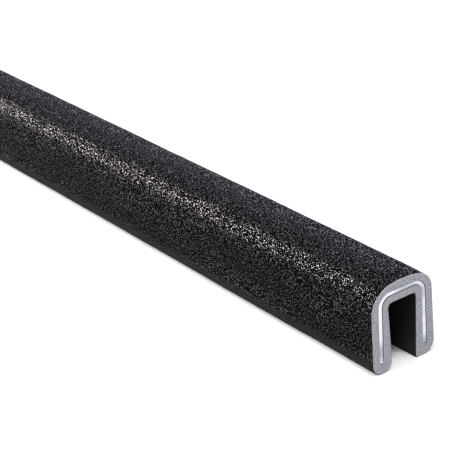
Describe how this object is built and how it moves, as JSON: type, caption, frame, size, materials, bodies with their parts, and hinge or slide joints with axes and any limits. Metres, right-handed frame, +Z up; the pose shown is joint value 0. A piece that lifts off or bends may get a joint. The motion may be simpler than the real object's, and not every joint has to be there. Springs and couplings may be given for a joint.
{
  "type": "edge trim seal",
  "caption": "Straight length of push-on edge trim: a grained black rubber channel with an arched crown, moulded round a bent metal core that shows at the cut ends.",
  "frame": {"origin": "on the floor, under the middle of the length and of the width", "axes": "+X along the trim, towards the cut end nearest the camera; +Y across the two legs; +Z up, from the open mouth to the crown"},
  "size_m": [0.3048, 0.0118, 0.0143],
  "materials": {
    "grained_rubber": "fine pebbled grain outside, smooth in the channel, pale sawn face at the ends",
    "core_metal": "bright sheared edge"
  },
  "bodies": {
    "root": {"jacket": "grained_rubber", "metal_core": "core_metal"}
  },
  "joints": []
}
